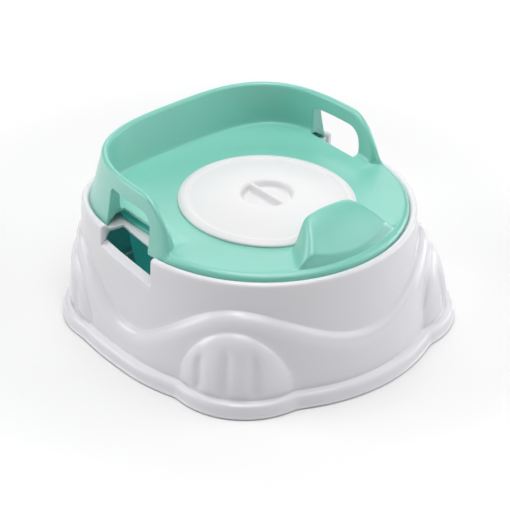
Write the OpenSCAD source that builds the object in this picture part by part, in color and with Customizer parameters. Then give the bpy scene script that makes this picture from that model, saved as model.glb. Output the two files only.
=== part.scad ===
// Potty training chair: white step base, mint seat ring with backrest and two handles,
// lift-out bowl, lift-off lid, rubber feet and rubber grip pads.
// Millimetres. +Z up, the front (splash guard) faces -Y, origin at the centre of the footprint on the floor.

/* [Rim] */
// height of the rim of the base above the floor
rim_height = 132; // [110:1:160]
// half of the rim's width, across the handles
rim_side = 157; // [140:1:180]
// reach of the rim in front of its centre
rim_front = 157; // [140:1:180]
// reach of the rim behind its centre
rim_back = 170; // [150:1:200]
// how square the two back corners are
corner_power = 3.5; // [2:0.1:5]
// width of the rounded band on top of the rim
rim_band = 8.5; // [6:0.5:14]
// thickness of the base's skin
base_skin = 3.2; // [2:0.1:5]
// how far the ledge that carries seat and bowl reaches in from the rim band
ledge_reach = 33.5; // [28:0.5:36]
// depth of the ledge below the rim
ledge_drop = 4.5; // [3:0.5:10]
// thickness of the ledge
ledge_skin = 3; // [2:0.1:5]

/* [Foot] */
// half of the foot's width
foot_side = 180; // [160:1:210]
// reach of the foot in front of the centre
foot_front = 180; // [160:1:210]
// reach of the foot behind the centre
foot_back = 190; // [160:1:220]
// how square the back of the foot is
foot_power = 2.8; // [2:0.1:5]
// radius of the four round corner lobes
lobe_radius = 79; // [60:1:95]
// centre of a front lobe, in from the foot's side
lobe_front_in = 90; // [70:1:110]
// centre of a front lobe, behind the foot's front
lobe_front_behind = 103; // [80:1:120]
// centre of a back lobe, in from the foot's side
lobe_back_in = 84.5; // [65:0.5:110]
// centre of a back lobe, ahead of the foot's back
lobe_back_ahead = 100; // [80:1:130]
// height of the rolled flange round the foot
flange_height = 16.5; // [10:0.5:25]
// width of the flange's top
flange_width = 9.5; // [6:0.5:14]
// the rubber feet lift the base this far off the floor
foot_lift = 1; // [0.5:0.1:3]

/* [Shoulder] */
// height of the wavy shoulder line at the front
shoulder_front = 62; // [40:1:90]
// height of the shoulder over the four corners
shoulder_corner = 102; // [80:1:115]
// height of the shoulder over the two back corners
shoulder_rear = 98; // [80:1:115]
// height of the shoulder under the handles
shoulder_side = 42; // [35:1:80]
// height of the rounded roll below the shoulder line, over a corner
roll_height = 16; // [8:1:24]
// height of the roll between the corners
roll_tall = 21; // [10:1:24]
// how far the roll stands out over a corner
roll_step = 12; // [5:0.5:14]
// how far the roll stands out between the corners
roll_least = 10; // [1:0.5:12]
// direction of a front corner from straight ahead, degrees
front_corner = 50; // [40:1:60]
// direction of a back corner from straight ahead, degrees
back_corner = 134; // [120:1:145]
// half of a corner dome's width, degrees
dome_half = 20; // [15:1:24]
// depth of the three flutes in each dome
flute_depth = 2; // [0:0.1:4]
// distance between flutes, degrees
flute_pitch = 12; // [8:1:15]

/* [Grip notches] */
// front end of a notch, measured back from the centre
notch_front = -11.5; // [-30:0.5:10]
// back end of a notch
notch_back = 72; // [50:0.5:90]
// depth of a notch below the rim
notch_depth = 27; // [12:1:35]
// the notch's lip is this much lower on the outside
notch_scoop = 3.5; // [0:0.5:12]
// the notch's floor is this much higher at its back end
notch_rise = 8; // [0:0.5:15]
// the notch's back end runs forward by this much on its way in
notch_ramp = 10; // [0:0.5:20]
// how far the notch cuts in through rim and ledge
notch_reach = 18; // [14:0.5:28]

/* [Seat] */
// height of the deck above the rim
deck_rise = 5; // [3:0.5:10]
// thickness of the deck
deck_skin = 3.5; // [2.5:0.1:5]
// how far the deck turns up towards the wall
deck_dish = 5; // [0:0.5:10]
// gap between seat and rim
seat_fit = 0.5; // [0.3:0.1:1.5]
// half of the opening's width
open_side = 77; // [65:1:85]
// half of the opening's length
open_length = 83; // [70:1:92]
// the opening's centre is this far in front of the rim's centre
open_ahead = 4; // [0:1:12]
// depth of the collar that guides into the bowl
collar_depth = 19; // [8:1:30]
// height of the backrest's top above the rim
back_height = 55.5; // [35:0.5:90]
// direction in which a handle starts to rise from the deck, degrees
handle_start = 79.5; // [70:0.5:88]
// sweep over which it rises, degrees
handle_sweep = 20; // [12:1:40]
// thickness of the wall's top lip
lip_thickness = 8; // [5:0.5:12]

/* [Handle openings] */
// front end of a handle opening
window_front = 4; // [-5:0.5:20]
// back end of a handle opening
window_back = 73; // [50:0.5:85]
// top of a handle opening above the rim
window_top = 38; // [25:0.5:45]
// inner limit of the cut, out from the middle
window_inner = 124.5; // [115:0.5:128]
// radius of the opening's front top corner
window_round = 17; // [3:0.5:24]
// radius of the opening's back top corner
window_tight = 4; // [1:0.5:10]

/* [Splash guard] */
// height of the guard above the deck
guard_height = 37; // [20:1:60]
// half of the guard's width at its top edge
guard_half = 29; // [20:1:40]
// how far each side of the guard flares out towards the front
guard_flare = 20; // [0:1:30]
// gap between the opening's front edge and the guard
guard_back = 4; // [3:0.5:8]
// length of the guard's front slope
guard_slope = 48; // [30:1:50]
// width over which its sides fall to the deck at its top; twice this at its front
guard_flank = 9; // [5:0.5:15]

/* [Lid] */
// how far the lid laps over the deck round the opening
lid_lap = 12; // [6:0.5:18]
// height of the lid's rim
lid_rim = 5; // [3:0.5:9]
// width of the lid's rim band
lid_band = 9; // [5:0.5:14]
// height of the middle of the lid
lid_crown = 10.5; // [8:0.5:20]
// gap between the lid and the guard
lid_gap = 1.5; // [0.5:0.1:4]
// gap between the lid's ring and the opening
lid_fit = 1.2; // [0.4:0.1:3]
// depth of the ring that locates the lid
lid_ring = 6; // [3:0.5:12]
// radius of the finger recess
recess_radius = 25; // [20:0.5:30]
// width of the grip bar across the recess
bar_width = 5; // [3:0.5:10]
// depth of the recess
recess_depth = 9; // [4:0.5:10]

/* [Bowl] */
// gap between the bowl and the ledge that it hangs in
bowl_fit = 3; // [1:0.5:6]
// thickness of the bowl
bowl_skin = 2.5; // [1.5:0.1:4]
// thickness of the bowl's flange
flange_skin = 3; // [2:0.1:4]
// how far the bowl's flange laps over the ledge
bowl_lap = 7; // [4:0.5:10]
// height of the bowl's floor underside
bowl_floor = 20; // [8:1:60]
// how far the bowl narrows towards its floor
bowl_draft = 17; // [5:1:35]

/* [Rubber pads] */
// width of a rubber foot
rubber_width = 5.4; // [3:0.1:7]
// half of a rubber foot's sweep round its lobe, degrees
rubber_half = 24; // [10:1:28]
// radius of a grip pad under the seat
pad_radius = 7; // [4:0.5:9]
// thickness of a grip pad
pad_thickness = 2.4; // [1:0.1:3]
// distance of the front pads from the centre
pad_front = 112; // [100:1:125]
// distance of the back pads from the centre
pad_back = 100; // [96:1:102]

/* [Hidden] */
$fn = 96;
// the rim's centre sits ahead of the origin so that the footprint is centred
mid_y = (foot_front - foot_back) / 2;
ledge_z = rim_height - ledge_drop;
deck_z = rim_height + deck_rise;
under_z = deck_z - deck_skin;
web_z = flange_height - 3.5;
notch_z = rim_height - notch_depth;
// directions between which the wall is thickened for the notch's lip
lip_margin = 4;
lip_from = 90 - lip_margin + atan(notch_front / rim_side);
lip_to = 90 + lip_margin / 2 + atan(notch_back / rim_side);
// the notch is cut from this far outside the wall
notch_over = 20;
lobe_front_x = foot_side - lobe_front_in;
lobe_front_y = foot_front - lobe_front_behind;
lobe_back_x = foot_side - lobe_back_in;
lobe_back_y = foot_back - lobe_back_ahead;
guard_face = open_length + open_ahead + guard_back;
// the deck stays level out to here, then turns up
level_r = open_side + 31;
open_y = mid_y - open_ahead;
white = [0.93, 0.93, 0.94];
mint = [0.55, 0.83, 0.76];
rubber = [0.6, 0.62, 0.63];

function lerp(a, b, t) = a + (b - a) * t;
function unit(t) = min(1, max(0, t));
function ease(t) = let (u = unit(t)) u * u * (3 - 2 * u);
function smax(a, b, k) = (a + b + sqrt((a - b) * (a - b) + k * k)) / 2;
function smin(a, b, k) = (a + b - sqrt((a - b) * (a - b) + k * k)) / 2;

// Directions run from 0 at the front, + to +X, 180 at the back.
function at(phi, r, z) = [r * sin(phi), mid_y - r * cos(phi), z];
// a plan that is round in front and a squarer D behind
function d_plan(phi, side, front, back, power) =
    let (c = cos(phi), n = c >= 0 ? 2 : power, b = c >= 0 ? front : back)
    pow(pow(abs(sin(phi)) / side, n) + pow(abs(c) / b, n), -1 / n);
// an oval whose centre lies ahead of the point the directions start from
function oval(phi, side, length, ahead) =
    let (s = sin(phi) / side, c = cos(phi) / length, k = ahead / length,
         a = s * s + c * c, b = c * k)
    (b + sqrt(b * b - a * (k * k - 1))) / a;
function circle_reach(phi, x, y) =
    let (t = x * abs(sin(phi)) + y * cos(phi), d = lobe_radius * lobe_radius - x * x - y * y + t * t)
    t > 0 && d > 0 ? t + sqrt(d) : 0;

function rim_r(phi) = d_plan(phi, rim_side, rim_front, rim_back, corner_power);
function foot_r(phi) = d_plan(phi, foot_side, foot_front, foot_back, foot_power);
function lobe_r(phi) =
    max(circle_reach(phi, lobe_front_x, lobe_front_y), circle_reach(phi, lobe_back_x, -lobe_back_y));
function ground_r(phi) = smax(foot_r(phi), lobe_r(phi), 4);

// the wavy shoulder line
wave = [[0, shoulder_front], [front_corner, shoulder_corner], [98, shoulder_side],
        [back_corner, shoulder_rear], [180, shoulder_front]];
function shoulder(p, i = 0) =
    p <= wave[i + 1][0] || i == len(wave) - 2
    ? lerp(wave[i][1], wave[i + 1][1], (1 - cos(180 * (p - wave[i][0]) / (wave[i + 1][0] - wave[i][0]))) / 2)
    : shoulder(p, i + 1);
function hump(p) = unit((shoulder(p) - shoulder_front) / (shoulder_corner - shoulder_front));
function roll_drop(p) = lerp(roll_tall, roll_height, hump(p));
function wall_r(p, z) = rim_r(p) + 2 * (rim_height - z) / 70;
// the roll stands out at most to the top of the skirt
function step(p) =
    min(lerp(roll_least, roll_step, hump(p)), foot_r(p) - flange_width + 1 - wall_r(p, shoulder(p)));

// the fluted domes at the corners
function corner(p) = abs(p - front_corner) < abs(p - back_corner) ? front_corner : back_corner;
function arch(p) = let (v = abs(p - corner(p)) / dome_half) v < 1 ? pow(1 - pow(v, 2.6), 0.45) : 0;
function dome_rise(p) = shoulder(corner(p)) - roll_drop(corner(p)) - 2 - flange_height;
function crease(p) =
    flange_height + max(dome_rise(p) * arch(p), 0.4 * (shoulder(p) - roll_drop(p) - flange_height));
function flute(p, u) =
    let (d = [for (k = [-1:1]) abs(p - corner(p) - k * flute_pitch)])
    flute_depth * exp(-pow(min(d) / 1.8, 2)) * ease((u - 0.02) / 0.15) * ease((0.85 - u) / 0.25);
function skirt(p, z) =
    let (top = shoulder(p) - roll_drop(p))
    lerp(foot_r(p) - flange_width, wall_r(p, top) + step(p), (z - flange_height) / (top - flange_height));
function dome(p, u) =
    let (z = lerp(flange_height, crease(p), u))
    [skirt(p, z) + (ground_r(p) - foot_r(p)) * pow(1 - pow(u, 1.5), 0.75) - flute(p, u), z];
function roll(p, t) =
    let (z = shoulder(p))
    [wall_r(p, z) + step(p) * sin(t), z - roll_drop(p) * (1 - cos(t))];

// one section of the base at direction phi, as [radius, height] pairs, outside first
function base_section(phi) =
    let (p = abs(phi), g = ground_r(p), d = rim_r(p), zs = shoulder(p), s = base_skin, top = rim_height,
         b = rim_band, l = d - b - ledge_reach, under = ledge_z - ledge_skin,
         inner = wall_r(p, zs) - s, f = g - flange_width,
         lip = p > lip_from && p < lip_to)
    concat(
        [[g + 1.2, foot_lift], [g + 1.2, 3.2], [g, 3.8], [g, flange_height - 5],
         [g - 1.6, flange_height - 1.9], [g - 5, flange_height - 0.3]],
        [for (u = [0, 0.12, 0.3, 0.5, 0.7, 0.86, 0.95, 1]) dome(p, u)],
        [for (t = [90, 60, 35, 12]) roll(p, t)],
        [[wall_r(p, zs), zs + 0.6], [wall_r(p, lerp(zs, top, 0.45)), lerp(zs, top - 6, 0.45)]],
        [[d, top - 5], [d - 0.3, top - 2.6], [d - 1.8, top - 0.6], [d - 4.2, top],
         [d - 6.6, top - 0.6], [d - b + 0.2, top - 2.2], [d - b, ledge_z], [l, ledge_z], [l, under],
         [d - b - 2, under]],
        lip ? [[d - b, notch_z], [d - s - 0.6, notch_z - 12]] : [[d - s - 0.6, under - 8], [d - s, under - 16]],
        [[inner, zs - 2], [inner + step(p), zs - roll_drop(p)], [dome(p, 1)[0] - s, crease(p) - 0.5]],
        [for (u = [0.7, 0.3]) dome(p, u) - [s, 0]],
        [[f - s, web_z], [g - s - 1.3, web_z], [g - s, web_z - 2], [g - s, foot_lift]]
    );

// the half round of directions, mirrored to a full turn
function full_turn(half) =
    concat(half, [for (i = [len(half) - 2:-1:1]) -half[i]]);
base_half = concat(
    [0, 6, 12, 17, 22, 26],
    [for (a = [-dome_half:2:dome_half]) front_corner + a],
    [74, 78, lip_from - 0.5, lip_from + 1, 86, 90, 94, 98, 102, 106, 110, 114],
    [for (a = [4 - dome_half:2:dome_half]) back_corner + a],
    [158, 163, 168, 174, 180]);

// Skins a ring of closed sections.
module ring_solid(sections) {
    n = len(sections);
    m = len(sections[0]);
    polyhedron(
        points = [for (s = sections) each s],
        faces = [for (i = [0:n - 1], j = [0:m - 1])
            let (a = i * m + j, b = i * m + (j + 1) % m, k = (i + 1) % n * m,
                 c = k + (j + 1) % m, d = k + j)
            each [[a, b, c], [a, c, d]]]);
}

// Skins a ring of open sections that start and end on two poles.
module pole_solid(sections, first, last) {
    n = len(sections);
    m = len(sections[0]);
    polyhedron(
        points = concat([for (s = sections) each s], [first, last]),
        faces = concat(
            [for (i = [0:n - 1], j = [0:m - 2])
                let (a = i * m + j, k = (i + 1) % n * m, d = k + j)
                each [[a, a + 1, d + 1], [a, d + 1, d]]],
            [for (i = [0:n - 1]) [n * m, i * m, (i + 1) % n * m]],
            [for (i = [0:n - 1]) [n * m + 1, (i + 1) % n * m + m - 1, i * m + m - 1]]));
}

// one grip notch, cut in through rim and ledge on the +X side: its floor climbs to the back, where it
// ends in a ramp
module notch() {
    lip_x = rim_side - rim_band;
    far_x = rim_side + notch_over;
    deep_x = rim_side - notch_reach;
    climb = notch_rise / (notch_back - notch_front);
    intersection() {
        multmatrix([[1, 0, 0, 0], [0, 1, 0, 0], [0, climb, 1, -climb * (mid_y + notch_front)]])
        translate([0, mid_y + notch_back, 0])
        rotate([90, 0, 0])
        linear_extrude(notch_back - notch_front)
        polygon([[deep_x, rim_height + 1], [deep_x, notch_z], [lip_x, notch_z],
                 [lip_x + 0.3 * rim_band, notch_z - 0.2 * notch_scoop],
                 [lip_x + 0.75 * rim_band, notch_z - 0.6 * notch_scoop], [rim_side, notch_z - notch_scoop],
                 [far_x, notch_z - notch_scoop], [far_x, rim_height + 1]]);
        translate([0, mid_y, 0])
        linear_extrude(rim_height + notch_over)
        polygon([[deep_x, notch_front], [far_x, notch_front], [far_x, notch_back], [rim_side, notch_back],
                 [lip_x, notch_back - notch_ramp], [deep_x, notch_back - notch_ramp]]);
    }
}

module base_shell() {
    color(white)
    difference() {
        ring_solid([for (phi = full_turn(base_half)) [for (q = base_section(phi)) at(phi, q[0], q[1])]]);
        notch();
        mirror([1, 0, 0]) notch();
    }
}

// the bowl follows the rim's D and hangs on the ledge by its flange
bowl_top = ledge_z + flange_skin;
function bowl_r(phi, out, z) =
    let (t = pow(unit((bowl_top - z) / (bowl_top - bowl_floor)), 1.6) * bowl_draft)
    rim_r(phi) - rim_band - ledge_reach - bowl_fit - bowl_skin + out - t;
function bowl_section(phi) =
    let (e = rim_r(phi) - rim_band - ledge_reach + bowl_lap, s = bowl_skin, z0 = bowl_floor)
    concat(
        [[bowl_r(phi, s - 7, z0), z0], [bowl_r(phi, s - 1.5, z0), z0 + 1.8]],
        [for (z = [z0 + 6, 50, 85, ledge_z - 6]) [bowl_r(phi, s, z), z]],
        [[bowl_r(phi, s + 2, ledge_z), ledge_z], [e, ledge_z], [e, bowl_top - 0.8], [e - 0.8, bowl_top],
         [bowl_r(phi, 2.2, bowl_top), bowl_top], [bowl_r(phi, 0.6, bowl_top), bowl_top - 0.7]],
        [for (z = [ledge_z - 6, 85, 50, z0 + 8]) [bowl_r(phi, 0, z), z]],
        [[bowl_r(phi, -2, z0), z0 + s + 1.4], [bowl_r(phi, -7, z0), z0 + s]]);

module bowl() {
    color(mint)
    pole_solid([for (phi = [0:5:355]) [for (q = bowl_section(phi)) at(phi, q[0], q[1])]],
               [0, open_y, bowl_floor], [0, open_y, bowl_floor + bowl_skin]);
}

// seat: how far the wall has risen, 0 on the open front, 1 on the backrest
function rise(p) = 1 - pow(1 - unit((p - handle_start) / handle_sweep), 2.2);
function wall_top(p) = deck_z + 1 + (back_height - deck_rise - 1) * rise(p);
function seat_r(p) = rim_r(p) - rim_band - seat_fit;
function lip_r(p) = d_plan(p, rim_side - 19.5, rim_front - 19.5, rim_back - 20.5, corner_power - 0.3);
function wall_foot(p) = d_plan(p, rim_side - 27, rim_front - 27, rim_back - 36, corner_power + 0.4);
// the splash guard as a height over the deck
function guard(phi, r) =
    let (f = r * cos(phi) - guard_face, x = abs(r * sin(phi)), t = unit(f / guard_slope),
         w = guard_half + t * guard_flare, flank = guard_flank * (1 + t))
    guard_height * ease(f / 3.5) * (1 - pow(unit((f - 3) / guard_slope), 1.5)) *
    (1 - ease((x - w) / flank)) * (1 - 0.05 * pow(x / guard_half, 2));
function deck_row(phi, r, foot, w) =
    [r, deck_z + guard(phi, r) * (abs(phi) < 60 ? 1 : 0) + deck_dish * w * ease((r - level_r) / (foot - level_r))];

function seat_section(phi) =
    let (p = abs(phi), o = oval(phi, open_side, open_length, open_ahead), rs = seat_r(p),
         w = ease((wall_top(p) - deck_z - 1) / 14), foot = lerp(rs - 7, wall_foot(p), w),
         zt = wall_top(p), l = lip_r(p), h = lip_thickness / 2, zf = deck_z + deck_dish * w,
         front = 1 - ease((p - 24) / 8),
         hollow = ease((p - 122) / 5),
         out = [for (k = [0, 1.4, 3.5, 7])
             let (plain = o + 3 + k) lerp(plain, max(plain, (guard_face + k) / cos(min(p, 40))), front)],
         bend = function (t) [rs - 7 + 7 * sin(t), deck_z - 6 * (1 - cos(t))],
         skin = [[foot + 1.5, zf + 2.5], [lerp(foot + 2, l - h, 0.55), lerp(zf, zt - 4, 0.55)], [l - h, zt - 4],
                 [l - h + 1.3, zt - 1.1], [l, zt], [l + h - 1.3, zt - 1.1], [l + h, zt - 4],
                 [lerp(rs, l + h, 0.5), lerp(rim_height, zt, 0.45)]],
         turn = [8, 16, 25, 35, 45, 56, 67, 78],
         zc = lerp(under_z, lerp(under_z, zt, 0.6), hollow))
    concat(
        [[o, under_z - collar_depth], [o, deck_z - 3], [o + 0.9, deck_z - 0.9], [o + 2.4, deck_z]],
        [for (r = out) deck_row(phi, r, foot, w)],
        [for (t = [0.12, 0.3, 0.5, 0.75, 1]) deck_row(phi, lerp(out[3], foot, t), foot, w)],
        [for (i = [0:7]) lerp(bend(turn[i]), skin[i], w)],
        [[rs, deck_z - 6], [rs, ledge_z], [rs - 3, ledge_z],
         [rs - 3, under_z - 2], [lerp(rs - 6, l + 1.2, hollow), zc], [lerp(rs - 7.5, l - 1.6, hollow), zc],
         [lerp(foot - 3, foot + 4.5, hollow), under_z + deck_dish * w],
         [level_r, under_z], [o + 3, under_z], [o + 3, under_z - collar_depth]]);
seat_half = concat(
    [0, 5, 10, 13, 15, 16.5, 18, 19.5, 21, 22.5, 24, 27, 31, 36, 42, 48, 54, 60, 66, 71, 75, 78],
    [for (a = [0:0.1:1]) handle_start + a * handle_sweep],
    [104, 109, 114, 118, 121, 124, 127, 130, 134, 138, 142, 147, 153, 160, 167, 174, 180]);

// one handle opening, cut outwards through the wall on the +X side
module window() {
    z0 = rim_height - 12;
    z1 = rim_height + window_top;
    r = window_round;
    t = window_tight;
    translate([window_inner, mid_y, 0])
    rotate([90, 0, 90])
    linear_extrude(50)
    union() {
        translate([window_front, z0]) square([window_back - window_front, z1 - r - z0]);
        translate([window_front + r, z0]) square([window_back - window_front - r - t, z1 - z0]);
        translate([window_back - t - 1, z0]) square([t + 1, z1 - t - z0]);
        translate([window_front + r, z1 - r]) circle(r);
        translate([window_back - t, z1 - t]) circle(t);
    }
}

// its sections run inside first, so the ring is skinned the other way round
module seat() {
    color(mint)
    difference() {
        ring_solid([for (phi = full_turn(seat_half)) [for (q = seat_section(phi)) at(-phi, q[0], q[1])]]);
        window();
        mirror([1, 0, 0]) window();
    }
}

// lid sections turn about the opening's own centre
lid_side = open_side + lid_lap;
lid_length = open_length + lid_lap;
function lid_r(phi) =
    let (r = oval(phi, lid_side, lid_length, 0), f = guard_face - open_ahead - lid_gap)
    cos(phi) > 0.5 ? smin(r, f / cos(phi), 3) : r;
function lid_section(phi) =
    let (e = lid_r(phi), o = oval(phi, open_side - lid_fit, open_length - lid_fit, 0), z = deck_z,
         c = z + lid_crown, k = recess_radius + 5)
    [[k + 3, z], [k + 5, z + 4], [lerp(k, e, 0.6), z + 3.5], [o - 3, z + 1], [o - 2.6, z - lid_ring],
     [o - 0.6, z - lid_ring], [o, z - lid_ring + 1], [o, z], [e, z], [e, z + lid_rim - 1.6],
     [e - 0.5, z + lid_rim - 0.5], [e - 1.8, z + lid_rim], [e - lid_band, z + lid_rim],
     [e - lid_band - 1.2, z + lid_rim - 1.6], [e - lid_band - 3, z + lid_rim - 1.4],
     [lerp(k, e - lid_band, 0.6), z + lerp(lid_rim - 1.2, lid_crown, 0.5)],
     [lerp(k, e - lid_band, 0.25), z + lerp(lid_rim - 1.2, lid_crown, 0.88)], [k, c]];

// the half-moon on the +X side of the grip bar
module half_moon() {
    translate([0, open_y, deck_z + lid_crown - recess_depth])
    linear_extrude(recess_depth + 2)
    intersection() {
        circle(recess_radius);
        translate([bar_width / 2, -recess_radius]) square(2 * recess_radius);
    }
}

module lid() {
    color(white)
    difference() {
        pole_solid([for (phi = [0:5:355])
                       [for (q = lid_section(phi)) at(phi, q[0], q[1]) - [0, open_ahead, 0]]],
                   [0, open_y, deck_z], [0, open_y, deck_z + lid_crown]);
        half_moon();
        mirror([1, 0, 0]) half_moon();
    }
}

// a rubber foot fills the flange's channel round one lobe; x and y are the lobe's centre
module rubber_foot(x, y) {
    facing = atan2(y, x);
    out = lobe_radius - base_skin - 1.4;
    color(rubber)
    translate([x, mid_y + y, 0])
    rotate([0, 0, facing - rubber_half])
    rotate_extrude(angle = 2 * rubber_half)
    translate([out - rubber_width, 0]) square([rubber_width, web_z]);
}

module foot_front_left() {
    rubber_foot(-lobe_front_x, -lobe_front_y);
}

module foot_front_right() {
    rubber_foot(lobe_front_x, -lobe_front_y);
}

module foot_back_left() {
    rubber_foot(-lobe_back_x, lobe_back_y);
}

module foot_back_right() {
    rubber_foot(lobe_back_x, lobe_back_y);
}

// a round pad bonded under the deck, for use on a full-size toilet
module grip_pad(phi, r) {
    color(rubber)
    translate(at(phi, r, under_z - pad_thickness))
    cylinder(h = pad_thickness, r = pad_radius);
}

module grip_pad_front_left() {
    grip_pad(-40, pad_front);
}

module grip_pad_front_right() {
    grip_pad(40, pad_front);
}

module grip_pad_back_left() {
    grip_pad(-140, pad_back);
}

module grip_pad_back_right() {
    grip_pad(140, pad_back);
}

base_shell();
bowl();
seat();
lid();
foot_front_left();
foot_front_right();
foot_back_left();
foot_back_right();
grip_pad_front_left();
grip_pad_front_right();
grip_pad_back_left();
grip_pad_back_right();
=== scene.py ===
# %% [markdown]
# # A potty training chair
# The real thing is four plastic mouldings that drop into each other: a white base with four round corner
# lobes, a bowl that hangs in it, a mint seat ring with a backrest, and a white lid.
# The solids of the frame give every place and size. Here each moulding gets its smooth skin and its finish.

# %% Load the frame
import math
import bmesh
import bpy
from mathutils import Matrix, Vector


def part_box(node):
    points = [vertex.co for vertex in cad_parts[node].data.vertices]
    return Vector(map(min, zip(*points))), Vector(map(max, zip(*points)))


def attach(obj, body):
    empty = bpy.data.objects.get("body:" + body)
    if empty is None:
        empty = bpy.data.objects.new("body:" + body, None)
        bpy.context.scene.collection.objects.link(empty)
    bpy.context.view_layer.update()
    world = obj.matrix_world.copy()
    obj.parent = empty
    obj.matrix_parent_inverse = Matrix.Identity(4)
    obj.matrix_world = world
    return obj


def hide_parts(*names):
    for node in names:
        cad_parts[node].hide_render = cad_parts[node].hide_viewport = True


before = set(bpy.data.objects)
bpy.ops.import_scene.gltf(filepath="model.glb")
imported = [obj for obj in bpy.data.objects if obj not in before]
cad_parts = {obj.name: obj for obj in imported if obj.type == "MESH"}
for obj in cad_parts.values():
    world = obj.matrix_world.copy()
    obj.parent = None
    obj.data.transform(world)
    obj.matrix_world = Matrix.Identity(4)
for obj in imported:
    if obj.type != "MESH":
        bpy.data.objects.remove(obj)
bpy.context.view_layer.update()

# %% [markdown]
# ## Sizes
# All forms are written in millimetres, as on a drawing, and turned into metres where a point is placed.
# Heights that the frame can tell are read from it, so the skins sit where the solids are.
# Directions run round the chair in degrees: 0 is the front, 90 the sitter's left side, 180 the back.

# %% Sizes of the chair
MM = 0.001
rim_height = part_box("base_shell")[1].z / MM
foot_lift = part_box("base_shell")[0].z / MM
back_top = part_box("seat")[1].z / MM
pad_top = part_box("grip_pad_front_left")[1].z / MM
bowl_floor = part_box("bowl")[0].z / MM
bowl_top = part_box("bowl")[1].z / MM
lid_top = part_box("lid")[1].z / MM
foot_front, foot_back, foot_side = 180, 190, 180
mid_y = (foot_front - foot_back) / 2
rim_side, rim_front, rim_back, corner_power = 157, 157, 170, 3.5
rim_band = 8.5
ledge_z = rim_height - 4.5
deck_z = rim_height + 5
deck_skin = deck_z - pad_top
open_side, open_length, open_ahead = 77, 83, 4
open_y = mid_y - open_ahead
print("rim", round(rim_height, 1), "deck", round(deck_z, 1))
print("backrest", round(back_top, 1), "lid", round(lid_top, 1))


# %% Small curves that every form uses
def lerp(a, b, t):
    return a + (b - a) * t


def unit(t):
    return min(1.0, max(0.0, t))


def ease(t):
    t = unit(t)
    return t * t * (3 - 2 * t)


def smooth_max(a, b, k):
    return (a + b + math.sqrt((a - b) ** 2 + k * k)) / 2


def smooth_min(a, b, k):
    return (a + b - math.sqrt((a - b) ** 2 + k * k)) / 2


def sin(deg):
    return math.sin(math.radians(deg))


def cos(deg):
    return math.cos(math.radians(deg))


def at(phi, r, z):
    """The point in direction phi, r from the rim's centre and z above the floor."""
    return Vector((r * sin(phi), mid_y - r * cos(phi), z)) * MM


def d_plan(phi, side, front, back, power):
    """A plan that is round in front and a squarer D behind."""
    c = cos(phi)
    n = 2 if c >= 0 else power
    reach = front if c >= 0 else back
    return ((abs(sin(phi)) / side) ** n + (abs(c) / reach) ** n) ** (-1 / n)


def oval(phi, side, length, ahead):
    """An oval whose centre lies ahead of the point that the directions start from."""
    s, c, k = sin(phi) / side, cos(phi) / length, ahead / length
    a = s * s + c * c
    return (c * k + math.sqrt((c * k) ** 2 - a * (k * k - 1))) / a


def rim_r(phi):
    return d_plan(phi, rim_side, rim_front, rim_back, corner_power)


# %% [markdown]
# ## Lofting by hand
# A moulding like this is a loft: the same closed outline is carried round the chair and changes as it goes.
# By hand that is one circle, extruded again and again, with each new ring pushed to its contour.
# The operators do the extruding, and code does the pushing, because a contour with lobes and flutes
# can't be scaled into place. Each point remembers its column and row, so that openings can be cut later
# by naming the rows between which they lie.

# %% The loft
def both_sides(half):
    """Directions of the half round, mirrored to a full turn."""
    return half + [-phi for phi in half[-2:0:-1]]


def start_piece(name):
    bpy.ops.object.select_all(action="DESELECT")
    piece = bpy.context.object
    piece.name = name
    piece.data.name = name
    piece.select_set(True)
    return piece


def place_ring(piece, table, k):
    """Moves the selected ring to row k of the table and notes its row."""
    mesh = bmesh.from_edit_mesh(piece.data)
    column = mesh.verts.layers.int["column"]
    row = mesh.verts.layers.int["row"]
    for v in mesh.verts:
        if v.select:
            v.co = table[v[column]][k % len(table[0])]
            v[row] = k
    bmesh.update_edit_mesh(piece.data)


def loft(name, table, closed=True):
    """A skin through table[column][row]. A closed one ends on its first ring, an open one stays open."""
    bpy.ops.mesh.primitive_circle_add(vertices=len(table), radius=1)
    piece = start_piece(name)
    bpy.ops.object.mode_set(mode="EDIT")
    mesh = bmesh.from_edit_mesh(piece.data)
    mesh.verts.layers.int.new("row")
    column = mesh.verts.layers.int.new("column")
    for i, v in enumerate(mesh.verts):
        v[column] = i
    bpy.ops.mesh.select_all(action="SELECT")
    place_ring(piece, table, 0)
    for k in range(1, len(table[0]) + closed):
        bpy.ops.mesh.extrude_region_move()
        place_ring(piece, table, k)
    if closed:
        bpy.ops.mesh.select_all(action="SELECT")
        bpy.ops.mesh.remove_doubles(threshold=0.002 * MM)
    return piece


def select_where(piece, test):
    """In edit mode, selects the points whose (column, row) pass the test."""
    mesh = bmesh.from_edit_mesh(piece.data)
    column = mesh.verts.layers.int["column"]
    row = mesh.verts.layers.int["row"]
    bpy.ops.mesh.select_all(action="DESELECT")
    for v in mesh.verts:
        v.select = test(v[column], v[row])
    mesh.select_flush(True)
    bmesh.update_edit_mesh(piece.data)


def cut_opening(piece, columns, outer, inner, cuts):
    """Opens the wall between two columns: faces between the outer rows and between the inner rows go,
    and the edges that then face each other are bridged, the nearer pair first, so that the second bridge
    has only its own two edges left. The two ends stay open for fill_ends."""
    for low, high in (outer, inner):
        select_where(piece, lambda c, r: c in columns and low <= r <= high)
        bpy.ops.mesh.delete(type="FACE")
    pairs = [(outer[0], inner[1]), (outer[1], inner[0])]
    for pair in sorted(pairs, key=lambda rows: abs(rows[1] - rows[0])):
        select_where(piece, lambda c, r: c in columns and r in pair)
        bpy.ops.mesh.bridge_edge_loops(number_cuts=cuts, interpolation="LINEAR")


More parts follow.
